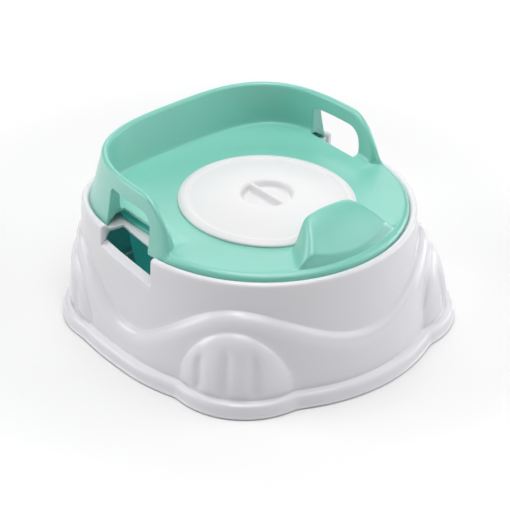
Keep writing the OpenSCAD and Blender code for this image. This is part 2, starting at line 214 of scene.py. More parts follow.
def fill_ends(piece, border):
    """Closes what cut_opening left open, with a border that keeps the edges crisp when they are smoothed."""
    bpy.ops.mesh.select_all(action="SELECT")
    bpy.ops.mesh.fill_holes(sides=0)
    bpy.ops.mesh.select_face_by_sides(number=4, type="GREATER", extend=False)
    bpy.ops.mesh.inset(thickness=border * MM, use_individual=True)


def finish_piece(piece, levels=1):
    """Outward normals, a smoothed skin, smooth shading."""
    bpy.ops.mesh.select_all(action="SELECT")
    bpy.ops.mesh.normals_make_consistent(inside=False)
    bpy.ops.object.mode_set(mode="OBJECT")
    for layer in ("column", "row"):
        if layer in piece.data.attributes:
            piece.data.attributes.remove(piece.data.attributes[layer])
    smooth = piece.modifiers.new("smooth", "SUBSURF")
    smooth.levels = levels
    smooth.render_levels = levels
    smooth.use_limit_surface = False
    bpy.ops.object.modifier_apply(modifier=smooth.name)
    bpy.ops.object.shade_smooth()
    print(piece.name, len(piece.data.polygons), "faces")
    return piece


# %% [markdown]
# ## The base
# The base is one white moulding. Its rim is a D in plan, its foot a wider D with a round lobe at each
# corner. Between them runs a wavy shoulder: a rounded roll that climbs over each lobe, and below it a fluted
# dome. Sculpting would never make the four corners alike, so one function per feature gives a radius at a
# height, and a section strings them together from the floor, over the rim and down the inside again.

# %% Sizes of the base
foot_power = 2.8
lobe_radius = 79
lobe_front = (90, 77)
lobe_back = (95.5, -90)
flange_height, flange_width = 16.5, 9.5
base_skin = 3.2
ledge_reach, ledge_skin = 33.5, 3
front_corner, back_corner, dome_half, dome_edge, dome_puff = 50, 134, 20, 1.5, 2.6
roll_height, roll_tall, roll_step, roll_least = 16, 21, 12, 10
flute_depth, flute_pitch, flute_width, flute_lean = 4.5, 9, 1.5, 0.05
crease_gap, crease_least = 2, 0.4
wall_draft, wall_fall = 2, 70
shoulder_front, shoulder_corner, shoulder_side, shoulder_rear, shoulder_dip = 62, 102, 42, 98, 98
shoulder_line = [(0, shoulder_front), (front_corner, shoulder_corner), (shoulder_dip, shoulder_side),
                 (back_corner, shoulder_rear), (180, shoulder_front)]
notch_front, notch_back, notch_depth, notch_scoop, notch_reach = -11.5, 72, 27, 3.5, 18
notch_rise, notch_ramp, notch_slant, notch_clear, notch_blend = 8, -5, 8, 9, 7
notch_z = rim_height - notch_depth
notch_from = 90 + math.degrees(math.atan(notch_front / rim_side))
notch_to = 90 + math.degrees(math.atan(notch_back / (rim_side - 2)))
print("grip notch from", round(notch_from, 1), "to", round(notch_to, 1), "degrees")


# %% Plan and shoulder of the base
def circle_reach(phi, x, y):
    """How far a lobe's circle reaches in direction phi, or 0 beside it."""
    t = x * abs(sin(phi)) + y * cos(phi)
    d = lobe_radius ** 2 - x * x - y * y + t * t
    return t + math.sqrt(d) if t > 0 and d > 0 else 0


def foot_r(phi):
    return d_plan(phi, foot_side, foot_front, foot_back, foot_power)


def ground_r(phi):
    return smooth_max(foot_r(phi), max(circle_reach(phi, *lobe_front), circle_reach(phi, *lobe_back)), 2)


def shoulder(p):
    """Height of the roll's crest: a wave through the points of shoulder_line."""
    for (p0, z0), (p1, z1) in zip(shoulder_line, shoulder_line[1:]):
        if p <= p1:
            return lerp(z0, z1, (1 - cos(180 * (p - p0) / (p1 - p0))) / 2)
    return shoulder_line[-1][1]


def wall_r(p, z):
    return rim_r(p) + wall_draft * (rim_height - z) / wall_fall


def hump(p):
    """0 between the corners, 1 over a corner."""
    return unit((shoulder(p) - shoulder_front) / (shoulder_corner - shoulder_front))


def roll_reach(p):
    most = foot_r(p) - flange_width + 1 - wall_r(p, shoulder(p))
    return min(lerp(roll_least, roll_step, hump(p)), most)


def roll_drop(p):
    return lerp(roll_tall, roll_height, hump(p))


# %% Domes, flutes and grip notches
def corner(p):
    return front_corner if abs(p - front_corner) < abs(p - back_corner) else back_corner


def crease(p):
    """Height of the valley between dome and roll: an arch over each lobe."""
    v = abs(p - corner(p)) / dome_half
    arch = (1 - v ** 2) ** 0.6 if v < 1 else 0
    rise = shoulder(corner(p)) - roll_drop(corner(p)) - crease_gap - flange_height
    return flange_height + max(rise * arch, crease_least * (shoulder(p) - roll_drop(p) - flange_height))


def flute(p, u):
    """Depth of the three flutes at share u of the dome's height: they fade out at both ends."""
    middle = lerp(corner(p), 90, flute_lean)
    near = min(abs(p - middle - k * flute_pitch) for k in (-1, 0, 1))
    fade = ease((u - 0.02) / 0.15) * ease((0.85 - u) / 0.25)
    return flute_depth * math.exp(-(near / flute_width) ** 2) * fade


def dome(p, u):
    """Point of the dome at share u of its height, as radius and height."""
    z = lerp(flange_height, crease(p), u)
    top = shoulder(p) - roll_drop(p)
    skirt = lerp(foot_r(p) - flange_width, wall_r(p, top) + roll_reach(p),
                 (z - flange_height) / (top - flange_height))
    lobe = (ground_r(p) - foot_r(p)) * (1 - u ** 2) ** 0.7
    v = min(1, abs(p - corner(p)) / (dome_half - dome_edge))
    puff = dome_puff * math.sqrt((1 - v ** 8) * (1 - u ** 6))
    return skirt + lobe + puff * ease(u / 0.2) - flute(p, u), z


def notch_share(p):
    """1 at a grip notch, fading to 0 beside it."""
    before = ease((p - notch_from + notch_clear) / notch_blend)
    return before * ease((notch_to + notch_clear - p) / notch_blend)


# %% Sections of the base
def base_section(phi):
    """Rows of (radius, height) in direction phi, and the rows between which a notch opens the wall.
    They run from the floor up the outside, over the rim, round the ledge and down the inside.
    In short, g and d are the radii of foot and rim, zs and fh the heights of the crest and the flange."""
    p = abs(phi)
    g, d, zs, top = ground_r(p), rim_r(p), shoulder(p), rim_height
    fh, near = flange_height, notch_share(p)
    under, inner_edge = ledge_z - ledge_skin, d - rim_band - ledge_reach
    along = unit((p - notch_from) / (notch_to - notch_from))
    climb, cut = notch_rise * along, d - notch_reach - notch_slant * along
    lip_z = lerp(lerp(zs + 4, top - 6, 0.6), notch_z - notch_scoop + climb, near)
    inner_lip = lerp(under - 9, notch_z + climb, near)
    thick = lerp(base_skin + 0.6, rim_band, near)
    wall, step, drop = wall_r(p, zs), roll_reach(p), roll_drop(p)
    # the foot flange
    rows = [(g + 0.5, foot_lift), (g + 1.2, foot_lift + 0.6), (g + 1.2, 3.0), (g + 0.7, 3.7), (g, 4.4)]
    rows += [(g, fh - 6.5), (g - 0.4, fh - 3.8), (g - 1.6, fh - 1.7)]
    rows += [(g - 3.4, fh - 0.6), (g - 5.4, fh - 0.2)]
    # the dome or skirt, the roll over it, and the wall
    rows += [dome(p, u) for u in (0, 0.06, 0.13, 0.21, 0.3, 0.4, 0.5, 0.6, 0.7, 0.79, 0.87, 0.93, 0.975, 1)]
    rows += [(wall + step * sin(t), zs - drop * (1 - cos(t))) for t in (90, 76, 62, 48, 35, 23)]
    rows += [(wall + 0.14 * step, zs - 0.1), (wall + 0.4, zs + 0.7), (wall, zs + 2.4)]
    outer_lip = len(rows) + 1
    rows += [(wall_r(p, z), z) for z in (lip_z - 1.6, lip_z, lip_z + 1.6, lerp(lip_z, top - 4, 0.55))]
    # the round rim, and the ledge that carries bowl and seat
    rows += [(d - 4.2 + 4.2 * cos(t), top - 4 + 4 * sin(t)) for t in (0, 22, 44, 66, 90, 114, 136, 158)]
    rows += [(d - rim_band + 0.1, top - 3.6), (d - rim_band, ledge_z + 0.6), (d - rim_band - 0.8, ledge_z)]
    ledge_cut = len(rows) + 1
    rows += [(cut + 1.2, ledge_z), (cut, ledge_z), (cut - 1.2, ledge_z)]
    rows += [(inner_edge + 1, ledge_z), (inner_edge, ledge_z - 0.8)]
    rows += [(inner_edge, under + 0.6), (inner_edge + 1, under)]
    under_cut = len(rows) + 1
    rows += [(cut - 1.2, under), (cut, under), (cut + 1.2, under)]
    # down the inside, a skin's thickness behind the outside
    rows += [(d - thick - 1.6, under - 0.3), (d - thick - 0.2, under - 2.5)]
    inner_lip_row = len(rows) + 1
    rows += [(d - thick, inner_lip + 1.5), (d - thick, inner_lip), (d - thick + 0.2, inner_lip - 1.5)]
    rows += [(d - base_skin - 0.6, inner_lip - 12), (wall - base_skin, zs - 2)]
    rows += [(wall - base_skin + step, zs - drop), (dome(p, 1)[0] - base_skin, crease(p) - 0.5)]
    rows += [(dome(p, u)[0] - base_skin, dome(p, u)[1]) for u in (0.7, 0.3)]
    rows += [(g - flange_width - base_skin, fh - 3.5), (g - base_skin - 1.3, fh - 3.5)]
    rows += [(g - base_skin, fh - 5.5), (g - base_skin, foot_lift + 0.4), (g - base_skin + 0.5, foot_lift)]
    return rows, (outer_lip, ledge_cut), (under_cut, inner_lip_row)


# %% Columns of the base
notch_sides = [notch_from - 3, notch_from - 1.6, notch_from - 0.7, notch_from, notch_from + 1]
notch_rear = [notch_to - 1, notch_to, notch_to + 0.7, notch_to + 1.6]
base_half = [0, 3, 6, 9, 12, 15, 18, 21, 24, 26.5]
base_half += [front_corner - dome_half - 2 + k for k in range(2 * dome_half + 5)]
base_half += [74, 76.5, 79] + notch_sides + [88, 90, 92.5, 95, 97.5, 100, 102.5, 105, 107.5, 109.5, 111.5]
base_half += notch_rear + [back_corner - dome_half + 4 + k for k in range(2 * dome_half - 1)]
base_half += [156, 159, 162, 165, 168, 171, 174, 177, 180]
base_turn = both_sides(base_half)
sections = [base_section(phi) for phi in base_turn]
outer_rows, inner_rows = sections[0][1:]
ramp = math.degrees(notch_ramp / rim_side)
ramp_start, ramp_fade = 98, 16


def ramped(phi, k):
    """The direction of row k: inside the wall, the columns at a notch's back end are turned by the ramp,
    so that the end face isn't square to the wall."""
    p = abs(phi)
    weight = ease((p - ramp_start) / (notch_to - ramp_start)) * ease((notch_to + ramp_fade - p) / ramp_fade)
    inward = ease((k - outer_rows[1] + 4) / 4) if k < inner_rows[1] + 2 else 0
    return math.copysign(p - ramp * weight * inward, phi)


base_columns = []
for phi in base_turn:
    turned = [ramped(phi, k) for k in range(len(sections[0][0]))]
    fan = {t: base_section(t)[0] for t in set(turned)}
    base_columns.append([at(t, *fan[t][k]) for k, t in enumerate(turned)])
print("base:", len(base_columns), "columns of", len(base_columns[0]), "points")

# %% Model the base
base = loft("base_moulding", base_columns)
for sign in (1, -1):
    opened = {i for i, phi in enumerate(base_turn) if notch_from - 0.01 <= sign * phi <= notch_to + 0.01}
    cut_opening(base, opened, outer_rows, inner_rows, cuts=4)
fill_ends(base, border=0.8)
finish_piece(base)
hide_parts("base_shell")
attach(base, "base")

# %% [markdown]
# ## The bowl
# The bowl lifts out, so it hangs on the base's ledge by a thin flange. It follows the rim's D and narrows
# towards its floor. A lathe would only make it round, so it is another loft, this time left open in the
# middle: its two innermost rings are then closed by a face each, inset so that the floor stays flat.

# %% Model the bowl
bowl_skin, bowl_draft, bowl_gap, bowl_lap = 2.5, 17, 3, 7
bowl_levels = (36, 55, 80, 105)


def bowl_r(phi, out, z):
    t = unit((bowl_top - z) / (bowl_top - bowl_floor)) ** 1.6 * bowl_draft
    return rim_r(phi) - rim_band - ledge_reach - bowl_gap - bowl_skin + out - t


def bowl_section(phi):
    s, z0 = bowl_skin, bowl_floor
    edge = rim_r(phi) - rim_band - ledge_reach + bowl_lap
    rows = [(bowl_r(phi, s - 30, z0), z0), (bowl_r(phi, s - 9, z0), z0), (bowl_r(phi, s - 4, z0), z0 + 0.5)]
    rows += [(bowl_r(phi, s - 1.2, z0), z0 + 2.4)]
    rows += [(bowl_r(phi, s, z), z) for z in (z0 + 6, *bowl_levels, ledge_z - 4)]
    rows += [(bowl_r(phi, s + 0.6, ledge_z), ledge_z - 1), (bowl_r(phi, s + 2, ledge_z), ledge_z)]
    rows += [(edge - 1, ledge_z), (edge, ledge_z + 0.7), (edge, bowl_top - 0.8), (edge - 1, bowl_top)]
    rows += [(bowl_r(phi, 4, bowl_top), bowl_top), (bowl_r(phi, 1.4, bowl_top), bowl_top - 0.5)]
    rows += [(bowl_r(phi, 0.2, bowl_top), bowl_top - 2.5)]
    rows += [(bowl_r(phi, 0, z), z) for z in (*bowl_levels[::-1], z0 + 9)]
    rows += [(bowl_r(phi, -1.6, z0), z0 + s + 3.2), (bowl_r(phi, -4.5, z0), z0 + s + 1)]
    rows += [(bowl_r(phi, -9, z0), z0 + s + 0.2), (bowl_r(phi, -30, z0), z0 + s)]
    return [at(phi, r, z) for r, z in rows]


bowl = loft("bowl_moulding", [bowl_section(phi) for phi in range(0, 360, 3)], closed=False)
fill_ends(bowl, border=12)
finish_piece(bowl)
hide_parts("bowl")
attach(bowl, "catch_bowl")

# %% [markdown]
# ## The seat
# The seat is one mint moulding: a collar, a level deck that turns up towards the sides, a splash guard that
# rises out of the deck in front, and a wall that climbs from both sides into the backrest. Each side has a
# handle opening. A backrest joined on would leave a seam that the real one doesn't have, so the whole seat
# is one loft. The columns beside an opening lie square across the wall, so that its end faces do too.

# %% Sizes of the seat
under_z = deck_z - deck_skin
collar_depth = 19
deck_dish, dish_start, dish_sweep = 5, 72, 20
level_r = open_side + 31
handle_start, handle_sweep = 79.5, 20
hollow_start, hollow_sweep = 122, 5
lip_thickness = 8
seat_gap = 0.5
window_front, window_back, window_inner = 4, 73, 124.5
window_top = rim_height + 38
window_round, window_tight, window_clear, window_blend = 17, 4, 18, 12
guard_height, guard_half, guard_flare, guard_slope, guard_flank = 37, 28, 20, 48, 12
guard_face = open_length + open_ahead + 4
guard_end, guard_ease = 26, 8
guard_rise = [(0, 0), (0.9, 0.025), (1.7, 0.12), (2.2, 0.34), (2.6, 0.62), (3.2, 0.86), (4.3, 0.965), (6, 1)]
print("handle opening", window_back - window_front, "long, top at", round(window_top, 1))


# %% Wall, splash guard and handle openings
def seat_r(p):
    return rim_r(p) - rim_band - seat_gap


def lip_r(p):
    return d_plan(p, rim_side - 19.5, rim_front - 19.5, rim_back - 20.5, corner_power - 0.3)


def wall_foot(p):
    return d_plan(p, rim_side - 27, rim_front - 27, rim_back - 36, corner_power + 0.4)


def wall_top(p):
    """Height of the wall, which climbs from the deck into the handles and the backrest."""
    t = unit((p - handle_start) / handle_sweep)
    return lerp(deck_z + 1, back_top, (1 - (1 - t) ** 2.2) * ease((t + 0.02) / 0.2))


def guard(phi, r):
    """Height of the splash guard over the deck: steep towards the lid, then a slope down to the front."""
    f, x = r * cos(phi) - guard_face, abs(r * sin(phi))
    if abs(phi) > 60 or f <= 0:
        return 0
    share = 1
    for (f0, s0), (f1, s1) in zip(guard_rise, guard_rise[1:]):
        if f0 <= f <= f1:
            share = lerp(s0, s1, (f - f0) / (f1 - f0))
    along = unit(f / guard_slope)
    half = guard_half + along * guard_flare
    fall = 1 - unit((f - 3) / guard_slope) ** 1.8
    wide = guard_flank * (1 + along)
    side = smooth_min(1, (half + wide - x) / wide, 0.25)
    swell = smooth_max(1 - math.hypot(1 - side, 1 - fall), 0, 0.2)
    return guard_height * share * swell * (1 - 0.05 * min(1, x / guard_half) ** 2)


def window_edge(y):
    """Height of the opening's upper edge at y behind the rim's centre; level with its corners outside it."""
    if y < window_front + window_round:
        d = min(window_round, window_front + window_round - y)
        return window_top - window_round + math.sqrt(window_round ** 2 - d * d)
    if y > window_back - window_tight:
        d = min(window_tight, y - window_back + window_tight)
        return window_top - window_tight + math.sqrt(window_tight ** 2 - d * d)
    return window_top


# %% Sections of the seat
def seat_section(phi, y):
    """Rows of (radius, height) in direction phi, for a column that crosses the wall y behind the rim's
    centre, and the rows between which a handle opening is cut. They run from the collar over the deck, up
    the wall's inside, down its outside and back to the collar underneath."""
    p = abs(phi)
    o, rs = oval(phi, open_side, open_length, open_ahead), seat_r(p)
    zt, lip, h = wall_top(p), lip_r(p), lip_thickness / 2
    w = ease((zt - deck_z - 1) / 14)
    foot = lerp(rs - 7, wall_foot(p), w)
    dish = deck_dish * ease((p - dish_start) / dish_sweep)
    zf = deck_z + dish
    hollow = ease((p - hollow_start) / hollow_sweep)
    front = 1 - ease((p - guard_end) / guard_ease)
    beside = ease((y - window_front + window_clear) / window_blend)
    beside *= ease((window_back + window_clear - y) / window_blend)
    collar_z = under_z - collar_depth
    cut = min(window_inner / max(0.5, sin(p)), foot - 2)

    def deck(r):
        return r, deck_z + guard(phi, r) + dish * ease((r - level_r) / (foot - level_r))

    # the opening's edge, and the deck with the splash guard
    rows = [(o, collar_z + 0.6), (o, deck_z - 3.4), (o + 0.35, deck_z - 1.6)]
    rows += [(o + 1.2, deck_z - 0.4), (o + 2.6, deck_z)]
    rises = []
    for f, _ in guard_rise:
        plain = o + 3.4 + f
        rises.append(lerp(plain, max(plain, (guard_face + f) / cos(min(p, 40))), front))
    rows += [deck(r) for r in rises]
    cut_r = lerp(lerp(rises[-1], foot, 0.9), cut, beside * w)
    rows += [deck(lerp(rises[-1], cut_r, t)) for t in (0.08, 0.18, 0.3, 0.43, 0.56, 0.69, 0.82, 0.93)]
    deck_cut = len(rows)
    rows += [deck(cut_r), deck(lerp(cut_r, foot, 0.6))]
    # the wall, or a round edge where there is none
    low, high = zf + 2.6, zt - h
    edge = lerp(low, high, unit((window_edge(y) - zf - 2.6) / max(8, back_top - h - zf - 2.6)))
    if window_front <= y <= window_back and w > 0.99:
        edge = window_edge(y)
    above = edge + 2.2 * w
    levels = [lerp(low, edge, t) for t in (0, 0.33, 0.67, 1)] + [above, lerp(above, high, 0.5)]
    skin = [(foot, zf), (foot + 0.5, zf + 0.8)]
    skin += [(lerp(foot + 1.6, lip - h, (z - low) / (high - low)), z) for z in levels]
    skin += [(lip - h * cos(t), zt - h + h * sin(t)) for t in (0, 30, 60, 90, 120, 150, 180)]
    base_level = rim_height + 0.5
    down = [lerp(high, above, 0.5), above, edge, lerp(edge, base_level, 0.33)]
    down += [lerp(edge, base_level, 0.67), base_level]
    skin += [(lerp(rs, lip + h, unit((z - base_level) / (high - base_level)) ** 0.9), z) for z in down]
    bend = [90 * (i + 0.5) / len(skin) for i in range(len(skin))]
    inner_edge = len(rows) + 5
    outer_edge = len(rows) + 2 + len(levels) + 7 + 2
    rows += [(lerp(rs - 7 + 7 * sin(t), r, w), lerp(deck_z - 6 * (1 - cos(t)), z, w))
             for t, (r, z) in zip(bend, skin)]
    # the edge that stands on the base's ledge, and the hollow of the backrest
    rows += [(rs, deck_z - 6.2), (rs, ledge_z + 0.5), (rs - 0.6, ledge_z)]
    rows += [(rs - 2.4, ledge_z), (rs - 3, ledge_z + 0.5)]
    ceiling = lerp(under_z, lerp(under_z, zt, 0.6), hollow)
    rows += [(rs - 3, under_z - 2), (lerp(rs - 6, lip + 1.2, hollow), ceiling)]
    rows += [(lerp(rs - 7.5, lip - 1.6, hollow), ceiling)]
    under_r = lerp(lerp(foot - 3, foot + 2, hollow), cut, beside * w * (1 - hollow))

    def under(r):
        return r, under_z + dish * ease((r - level_r) / (foot - level_r))

    for t, out, up in ((0.3, 7, 12), (0.6, 5, 3), (0.9, 4, 0.6)):
        r, z = under(lerp(rs - 7.5, under_r, t))
        rows += [(lerp(r, foot + out, hollow), lerp(z, under(foot)[1] + up, hollow))]
    # the deck's underside and the collar
    under_cut = len(rows)
    rows += [under(under_r), under(under_r - 6), (level_r, under_z)]
    rows += [(o + 5, under_z), (o + 3, under_z - 1.5)]
    rows += [(o + 3, collar_z + 0.6), (o + 2.4, collar_z), (o + 0.6, collar_z)]
    return rows, (outer_edge, under_cut), (deck_cut, inner_edge)


# %% Columns of the seat
square_r, square_from, square_to = 140, 68, 156
square_in, square_out = 14, 34
square_inner, square_blend, square_most = 98, 20, 9


def column_y(phi):
    return -square_r * cos(phi)


def square_column(phi):
    """The column at phi, turned so that beside the openings it lies square across the wall."""
    y = column_y(phi)
    bend = ease((phi - square_from) / square_in) * ease((square_to - phi) / square_out)
    reach = square_most
    fan = [seat_section(phi + d, y)[0] for d in range(-reach, reach + 1)]
    points = []
    for k in range(len(fan[0])):
        turn = 0
        for _ in range(6):
            i = min(int(turn + reach), 2 * reach - 1)
            t = turn + reach - i
            r, z = lerp(fan[i][k][0], fan[i + 1][k][0], t), lerp(fan[i][k][1], fan[i + 1][k][1], t)
            square = 90 + math.degrees(math.asin(max(-0.99, min(0.99, y / r))))
            pull = ease((r - square_inner) / square_blend)
            turn = max(-reach, min(reach, (square - phi) * bend * pull))
        points.append(at(phi + turn, r, z))
    return points


def side_direction(y):
    return 90 + math.degrees(math.asin(y / square_r))


arc_steps = [window_round * (1 - cos(t)) for t in (0, 15, 30, 45, 60, 75, 90)]
side_y = [-25.2, -24.2, -22.8, -21, -19, -16.5, -14, -11, -8, -5, -2, 0.2, 2.2]
side_y += [window_front + a for a in arc_steps] + [27, 33, 39, 45, 51, 57, 62, 66]
side_y += [window_back - window_tight * a for a in (1, 0.6, 0.25, 0)] + [75, 77.5, 81, 85, 90]
seat_half = [0, 3, 6, 8.5, 10.5, 12, 13.5] + [15 + 0.6 * k for k in range(24)]
seat_half += [30, 32.5, 36, 40, 44, 48, 52, 56, 60, 64, 67.5, 70.5, 73, 75, 77, 78.4]
seat_half += [side_direction(y) for y in side_y]
seat_half += [133, 136, 139, 142, 145.5, 149, 153, 157, 161, 166, 171, 175.5, 180]
seat_columns = []
for phi in seat_half:
    if square_from < phi < square_to:
        seat_columns.append(square_column(phi))
    else:
        seat_columns.append([at(phi, r, z) for r, z in seat_section(phi, column_y(phi))[0]])
mirrored = [[Vector((-v.x, v.y, v.z)) for v in column] for column in seat_columns[-2:0:-1]]
print("seat:", len(seat_columns) + len(mirrored), "columns of", len(seat_columns[0]), "points")

# %% Model the seat
seat_turn = both_sides(seat_half)
seat = loft("seat_moulding", seat_columns + mirrored)
outer_rows, inner_rows = seat_section(100, 40)[1:]
first, last = side_direction(window_front) - 0.01, side_direction(window_back) + 0.01
for sign in (1, -1):
    opened = {i for i, phi in enumerate(seat_turn) if first <= sign * phi <= last}
    cut_opening(seat, opened, outer_rows, inner_rows, cuts=3)
fill_ends(seat, border=1.6)
finish_piece(seat)
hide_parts("seat")
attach(seat, "seat_ring")

# %% [markdown]
# ## The lid
# The lid is a shallow white dish turned over: a bright rim band, a small step, then a panel that swells to
# the middle. In the middle is a round finger recess with a bar across it. A boolean cut would leave a ragged
# edge for the smoothing, so the outer part is a loft round the lid's own centre, and the recess is lofted as
# one half-moon, mirrored across the bar and welded to the panel.

# %% Forms of the lid
lid_lap, lid_rim, lid_band, lid_gap, lid_fit, lid_ring = 12, 5, 9, 1.5, 1.2, 6
recess_radius, recess_depth, lid_columns = 25, 9, 144
crown_r = recess_radius + 9


def lid_at(phi, r, z):
    return Vector((r * sin(phi), open_y - r * cos(phi), z)) * MM


def lid_r(phi):
    r = oval(phi, open_side + lid_lap, open_length + lid_lap, 0)
    if cos(phi) > 0.5:
        r = smooth_min(r, (guard_face - open_ahead - lid_gap) / cos(phi), 4)
    return r


def lid_section(phi):
    """A column of the lid: from the crown over the rim band, round the fitting ring and back underneath."""
    e, z, zr = lid_r(phi), deck_z, deck_z + lid_rim
    o = oval(phi, open_side - lid_fit, open_length - lid_fit, 0)
    b = e - lid_band
    rows = []
    for t in (0, 0.1, 0.22, 0.35, 0.48, 0.61, 0.74, 0.86, 0.96):
        rows.append((lerp(crown_r, b - 2.4, t), lerp(lid_top, zr - 1.3, t ** 1.55)))
    rows += [(b - 1.5, zr - 1.35), (b - 0.9, zr - 0.9), (b - 0.4, zr - 0.25)]
    rows += [(b + 0.4, zr), (b + 2, zr + 0.15)]
    rows += [(e - 3.6, zr - 0.7), (e - 2, zr - 1.5), (e - 0.8, zr - 2.2), (e - 0.2, zr - 2.9), (e, zr - 3.6)]
    rows += [(e, z + 0.5), (e - 0.5, z), (o + 1, z), (o, z - 0.8)]
    rows += [(o, z - lid_ring + 1), (o - 0.7, z - lid_ring), (o - 2, z - lid_ring)]
    rows += [(o - 2.6, z - lid_ring + 0.8), (o - 2.9, z), (o - 4, z + 1.4)]
    rows += [(lerp(crown_r, e, 0.6), z + 3.2), (crown_r + 5, z + 3.4), (crown_r + 1, z + 2)]
    rows += [(crown_r - 2, z), (crown_r - 14, z)]
    return [lid_at(phi, r, h) for r, h in rows]


def half_moon(radius, straight, round_r, z):
    """One contour of the half-moon beside the bar: an arc, a rounded corner, the straight side, a corner."""
    cx = straight + round_r
    cy = math.sqrt((radius - round_r) ** 2 - cx * cx)
    turn = math.degrees(math.atan2(cy, cx))
    arc_count, corner_count, side_count = 72, 4, 9
    points = [(radius * cos(a), radius * sin(a))
              for a in (lerp(-turn, turn, i / arc_count) for i in range(arc_count + 1))]
    tops = [lerp(turn, 180, i / corner_count) for i in range(1, corner_count + 1)]
    points += [(cx + round_r * cos(a), cy + round_r * sin(a)) for a in tops]
    points += [(straight, lerp(cy, -cy, i / (side_count + 1))) for i in range(1, side_count + 1)]
    points += [(cx + round_r * cos(a), -cy - round_r * sin(a)) for a in tops[::-1]]
    return [Vector((x, open_y + y, z)) * MM for x, y in points]


# %% Model the lid's panel and rim
lid_turn = [360 / lid_columns * i for i in range(lid_columns)]
lid = loft("lid_moulding", [lid_section(phi) for phi in lid_turn], closed=False)
select_where(lid, lambda c, r: r == len(lid_section(0)) - 1)
bpy.ops.mesh.edge_face_add()
bpy.ops.mesh.inset(thickness=6 * MM)
bpy.ops.object.mode_set(mode="OBJECT")
print("lid:", len(lid_turn), "columns of", len(lid_section(0)), "points")

# %% Model the finger recess and weld it in
moon_rows = [half_moon(crown_r, 0, 0.001, lid_top), half_moon(31.5, 0.3, 0.3, lid_top)]
for radius, straight, round_r, drop in ((29, 0.8, 0.8, 0.05), (27.6, 1.3, 1.4, 0.45), (26.4, 1.8, 1.8, 1.4),
                                        (25.6, 2.2, 2.0, 3.0), (25.1, 2.5, 2.2, 5.2), (24.6, 2.8, 2.4, 7.2),
                                        (23.6, 3.5, 3, 8.4), (21.8, 5, 4, 8.9), (18, 8, 5, recess_depth)):
    moon_rows.append(half_moon(radius, straight, round_r, lid_top - drop))
moon = loft("recess", list(map(list, zip(*moon_rows))), closed=False)
select_where(moon, lambda c, r: r == len(moon_rows) - 1)
bpy.ops.mesh.edge_face_add()
bpy.ops.object.mode_set(mode="OBJECT")
mirror = moon.modifiers.new("mirror", "MIRROR")
mirror.use_axis = (True, False, False)
mirror.merge_threshold = 0.01 * MM
bpy.ops.object.modifier_apply(modifier=mirror.name)
lid.select_set(True)
bpy.context.view_layer.objects.active = lid
bpy.ops.object.join()
bpy.ops.object.mode_set(mode="EDIT")
bpy.ops.mesh.select_all(action="SELECT")
bpy.ops.mesh.remove_doubles(threshold=0.05 * MM)
finish_piece(lid)
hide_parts("lid")
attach(lid, "lid_cover")

# %% [markdown]
# ## Rubber feet and grip pads
# A curved rubber bar fills the foot flange's channel under each lobe and carries the chair. A round pad
# under the seat keeps it from slipping when it is used alone. Both are small mouldings with softened edges:
# a copy of the frame's solid would be too sharp, so a square is spun round the lobe, and a disc is dished.

# %% Model the feet
rubber_width, rubber_half = 5.4, 24
channel_top = flange_height - 3.5


def round_edges(piece, width):
    bpy.ops.object.mode_set(mode="OBJECT")
    bevel = piece.modifiers.new("soft edges", "BEVEL")
    bevel.width = width * MM
    bevel.segments = 3
    bevel.limit_method = "ANGLE"
    bpy.ops.object.modifier_apply(modifier=bevel.name)
    bpy.ops.object.shade_smooth_by_angle(angle=math.radians(40))


def rubber_foot(name, lobe, side):
    x, y = lobe[0] * side, mid_y - lobe[1]
    facing = math.atan2(-lobe[1], lobe[0] * side)
    reach = lobe_radius - base_skin - 1.4 - rubber_width / 2
    start = facing - math.radians(rubber_half)
    place = Vector((x + reach * math.cos(start), y + reach * math.sin(start), channel_top / 2)) * MM
    bpy.ops.object.select_all(action="DESELECT")
    bpy.ops.mesh.primitive_plane_add(size=1, location=place, rotation=(math.pi / 2, 0, start))
    piece = start_piece(name)
    piece.scale = (rubber_width * MM, channel_top * MM, 1)
    bpy.ops.object.transform_apply()
    bpy.ops.object.mode_set(mode="EDIT")
    bpy.ops.mesh.select_all(action="SELECT")
    sweep, middle = 2 * math.radians(rubber_half), Vector((x, y, 0)) * MM
    bpy.ops.mesh.spin(steps=24, angle=sweep, center=middle, axis=(0, 0, 1))
    bpy.ops.mesh.select_all(action="SELECT")
    bpy.ops.mesh.normals_make_consistent(inside=False)
    round_edges(piece, 0.7)
    return piece


feet = []
for where, lobe in (("front", lobe_front), ("back", lobe_back)):
    for hand, side in (("left", -1), ("right", 1)):
        foot = rubber_foot(f"rubber_foot_{where}_{hand}", lobe, side)
        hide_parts(f"foot_{where}_{hand}")
        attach(foot, "base")
        feet.append(foot)
print("feet:", len(feet))

# %% Model the grip pads
pad_radius = (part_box("grip_pad_front_left")[1].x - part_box("grip_pad_front_left")[0].x) / 2


def grip_pad(name, node):
    low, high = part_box(node)
    thick, middle = high.z - low.z, (low + high) / 2
    bpy.ops.object.select_all(action="DESELECT")
    bpy.ops.mesh.primitive_cylinder_add(vertices=48, radius=pad_radius, depth=thick, location=middle)
    piece = start_piece(name)
    bpy.ops.object.transform_apply()
    bpy.ops.object.mode_set(mode="EDIT")
    mesh = bmesh.from_edit_mesh(piece.data)
    for face in mesh.faces:
        face.select = face.normal.z < -0.9
    bmesh.update_edit_mesh(piece.data)
    for inset, sink in ((0.28, 0.0), (0.12, 0.18), (0.2, 0.0), (0.08, -0.18)):
        bpy.ops.mesh.inset(thickness=inset * pad_radius)
        bpy.ops.transform.translate(value=(0, 0, sink * thick))
    round_edges(piece, 0.35)
    return piece


pads = []
for where in ("front_left", "front_right", "back_left", "back_right"):
    pad = grip_pad(f"rubber_pad_{where}", f"grip_pad_{where}")
    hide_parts(f"grip_pad_{where}")
    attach(pad, "seat_ring")
    pads.append(pad)
print("pads:", len(pads))

